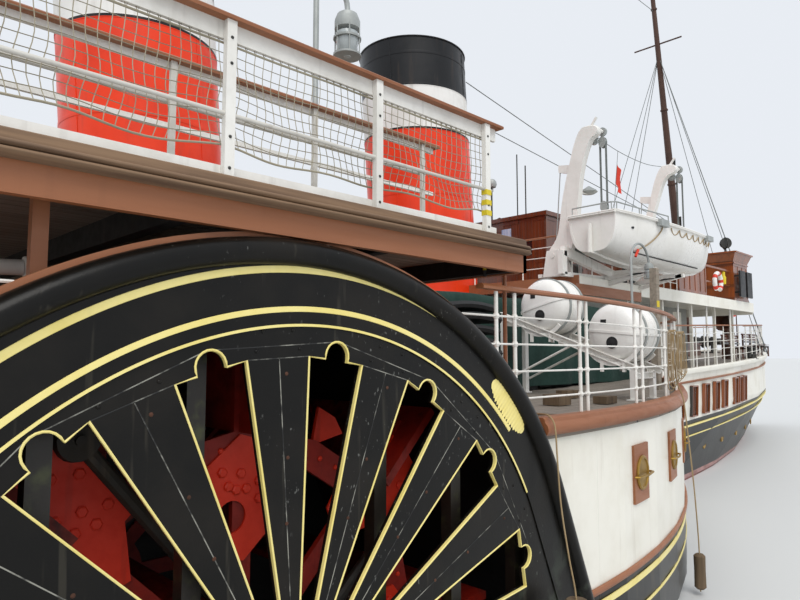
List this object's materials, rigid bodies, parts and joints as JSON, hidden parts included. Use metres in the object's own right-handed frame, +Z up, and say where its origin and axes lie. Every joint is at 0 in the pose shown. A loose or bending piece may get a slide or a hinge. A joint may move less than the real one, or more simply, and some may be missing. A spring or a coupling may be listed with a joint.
{
  "type": "paddle steamer, 1:2 scale model",
  "caption": "Half-scale side-wheel paddle steamer with vented paddle boxes, two raked funnels, deckhouses, bridge, lifeboats on davits and pole masts.",
  "frame": {"origin": "on the centreline at the waterline, straight below the paddle shaft", "axes": "+X towards the bow, +Y to port, +Z up"},
  "size_m": [36.63, 8.76, 11.9675],
  "materials": {
    "hull_black": "gloss paint",
    "topside_white": "satin paint",
    "box_black": "gloss paint with gold lining",
    "brown_paint": "satin paint",
    "deck_planks": "weathered planks",
    "varnished_wood": "varnish",
    "funnel_red": "satin paint",
    "wheel_red": "worn paint",
    "bright_steel": "oiled",
    "engine_iron": "plain",
    "rail_white": "gloss paint",
    "davit_white": "gloss paint",
    "boat_white": "gloss",
    "raft_white": "gloss",
    "spar_brown": "painted"
  },
  "bodies": {
    "ship": {"hull": "hull_black", "upper_plating": "topside_white", "promenade_deck": "deck_planks", "sponson_forward_port": "topside_white", "sponson_aft_port": "topside_white", "sponson_forward_starboard": "topside_white", "sponson_aft_starboard": "topside_white", "paddle_box_face_port": "box_black", "paddle_box_face_starboard": "box_black", "paddle_box_casing_port": "brown_paint", "paddle_box_casing_starboard": "brown_paint", "engine": "engine_iron", "engine_casing": "topside_white", "casing_roof": "deck_planks", "funnel_aft": "funnel_red", "funnel_forward": "funnel_red", "landing_deck_port": "brown_paint", "landing_deck_starboard": "brown_paint", "landing_rail_port": "rail_white", "landing_rail_starboard": "rail_white", "forward_house": "topside_white", "boat_deck": "topside_white", "deck_cabin": "varnished_wood", "deck_cabin_roof": "varnished_wood", "wheelhouse": "varnished_wood", "wheelhouse_roof": "varnished_wood", "bridge_wing_port": "varnished_wood", "bridge_wing_starboard": "varnished_wood", "aft_house": "topside_white", "aft_house_roof": "topside_white", "foremast": "spar_brown", "mainmast": "spar_brown", "rail_forward": "rail_white", "rail_aft": "rail_white", "raft_rack_port": "raft_white", "raft_rack_starboard": "raft_white", "ventilator_port": "spar_brown", "ventilator_starboard": "spar_brown", "davit_frame_port": "davit_white", "davit_frame_starboard": "davit_white"},
    "paddles": {"paddle_shaft": "bright_steel", "paddle_wheel_port": "wheel_red", "paddle_wheel_starboard": "wheel_red"},
    "rudder": {"rudder": "hull_black"},
    "davits_port": {"davit_aft_port": "davit_white", "davit_forward_port": "davit_white"},
    "davits_starboard": {"davit_aft_starboard": "davit_white", "davit_forward_starboard": "davit_white"},
    "boat_port": {"lifeboat_port": "boat_white"},
    "boat_starboard": {"lifeboat_starboard": "boat_white"},
    "casing_door_port": {"casing_door_port": "topside_white"},
    "casing_door_starboard": {"casing_door_starboard": "topside_white"},
    "forward_house_door_port": {"forward_house_door_port": "topside_white"},
    "forward_house_door_starboard": {"forward_house_door_starboard": "topside_white"},
    "wheelhouse_door_port": {"wheelhouse_door_port": "varnished_wood"},
    "wheelhouse_door_starboard": {"wheelhouse_door_starboard": "varnished_wood"},
    "cabin_door": {"cabin_door": "varnished_wood"},
    "aft_house_door": {"aft_house_door": "topside_white"}
  },
  "joints": [
    {"name": "paddle_turn", "type": "hinge", "parent": "ship", "child": "paddles", "pos_m": [0, 0, 0.725], "axis": [0, 1, 0], "continuous": true},
    {"name": "rudder_turn", "type": "hinge", "parent": "ship", "child": "rudder", "pos_m": [-17.275, 0, -0.5], "axis": [0, 0, 1], "range_deg": [-35, 35]},
    {"name": "davits_port_swing", "type": "hinge", "parent": "ship", "child": "davits_port", "pos_m": [6.2, 2.025, 2.975], "axis": [-1, 0, 0], "range_deg": [0, 38]},
    {"name": "davits_starboard_swing", "type": "hinge", "parent": "ship", "child": "davits_starboard", "pos_m": [6.2, -2.025, 2.975], "axis": [1, 0, 0], "range_deg": [0, 38]},
    {"name": "boat_port_hang", "type": "hinge", "parent": "davits_port", "child": "boat_port", "pos_m": [6.5, 2.575, 4.35], "axis": [-1, 0, 0], "range_deg": [-38, 0]},
    {"name": "boat_starboard_hang", "type": "hinge", "parent": "davits_starboard", "child": "boat_starboard", "pos_m": [6.5, -2.575, 4.35], "axis": [1, 0, 0], "range_deg": [-38, 0]},
    {"name": "casing_door_port_swing", "type": "hinge", "parent": "ship", "child": "casing_door_port", "pos_m": [3.9354, 1.05, 1.95], "axis": [0, 0, 1], "range_deg": [0, 95]},
    {"name": "casing_door_starboard_swing", "type": "hinge", "parent": "ship", "child": "casing_door_starboard", "pos_m": [3.9354, -1.05, 1.95], "axis": [0, 0, -1], "range_deg": [0, 95]},
    {"name": "forward_house_door_port_swing", "type": "hinge", "parent": "ship", "child": "forward_house_door_port", "pos_m": [10.2604, 1.3, 2.2], "axis": [0, 0, 1], "range_deg": [0, 95]},
    {"name": "forward_house_door_starboard_swing", "type": "hinge", "parent": "ship", "child": "forward_house_door_starboard", "pos_m": [10.2604, -1.3, 2.2], "axis": [0, 0, -1], "range_deg": [0, 95]},
    {"name": "wheelhouse_door_port_swing", "type": "hinge", "parent": "ship", "child": "wheelhouse_door_port", "pos_m": [9.8104, 1.3, 3.3], "axis": [0, 0, 1], "range_deg": [0, 95]},
    {"name": "wheelhouse_door_starboard_swing", "type": "hinge", "parent": "ship", "child": "wheelhouse_door_starboard", "pos_m": [9.8104, -1.3, 3.3], "axis": [0, 0, -1], "range_deg": [0, 95]},
    {"name": "cabin_door_swing", "type": "hinge", "parent": "ship", "child": "cabin_door", "pos_m": [6.675, -0.1996, 3.3], "axis": [0, 0, 1], "range_deg": [0, 95]},
    {"name": "aft_house_door_swing", "type": "hinge", "parent": "ship", "child": "aft_house_door", "pos_m": [-8.25, -0.2246, 2.05], "axis": [0, 0, 1], "range_deg": [0, 95]}
  ],
  "couplings": [
    {"joint": "boat_port_hang", "follows": "davits_port_swing", "ratio": -1},
    {"joint": "boat_starboard_hang", "follows": "davits_starboard_swing", "ratio": -1}
  ]
}
